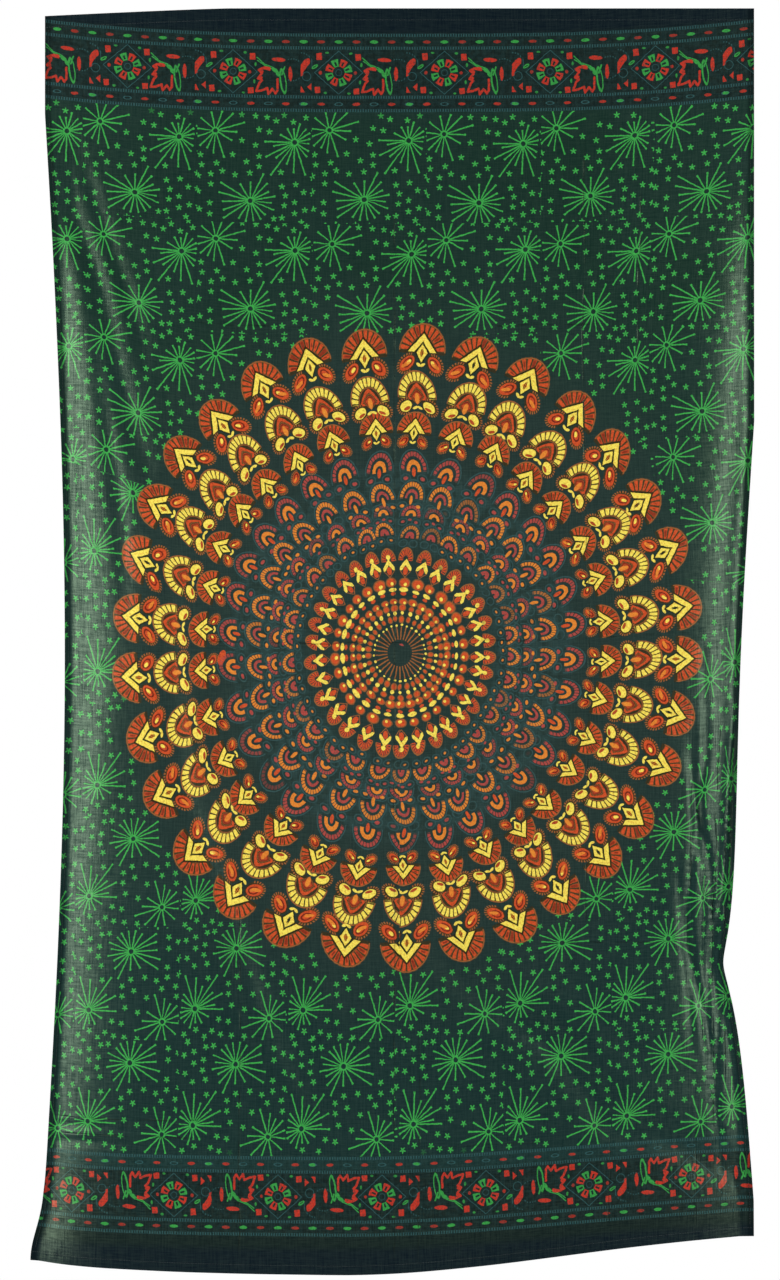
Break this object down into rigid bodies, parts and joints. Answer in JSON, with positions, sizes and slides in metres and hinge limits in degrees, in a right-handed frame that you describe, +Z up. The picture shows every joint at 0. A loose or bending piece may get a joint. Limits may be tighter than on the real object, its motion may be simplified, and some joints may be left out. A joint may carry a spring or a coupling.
{
  "type": "tapestry wall hanging",
  "caption": "Tall cotton wall hanging with a printed feather mandala and printed end borders, turned and stitched hems, hung flat by its top hem with soft gathers down one side.",
  "frame": {"origin": "middle of the flat back face of the top hem, the face that is laid on the wall", "axes": "+Y out of the back of the cloth into the wall, so the print faces -Y; +Z up along the drop; +X to the right as seen from the front"},
  "size_m": [1.124, 0.046, 1.962],
  "materials": {
    "printed_cotton": "plain-weave cotton, dyed dark green, screen-printed in green, yellow, orange and red",
    "hem_cotton": "plain-weave cotton, dyed dark green, unprinted reverse side",
    "sewing_thread": "spun cotton-polyester sewing thread"
  },
  "bodies": {
    "root": {"printed_cloth": "printed_cotton", "top_hem": "hem_cotton", "bottom_hem": "hem_cotton", "left_hem": "hem_cotton", "right_hem": "hem_cotton", "top_seam_thread": "sewing_thread", "bottom_seam_thread": "sewing_thread", "left_seam_thread": "sewing_thread", "right_seam_thread": "sewing_thread"}
  },
  "joints": []
}
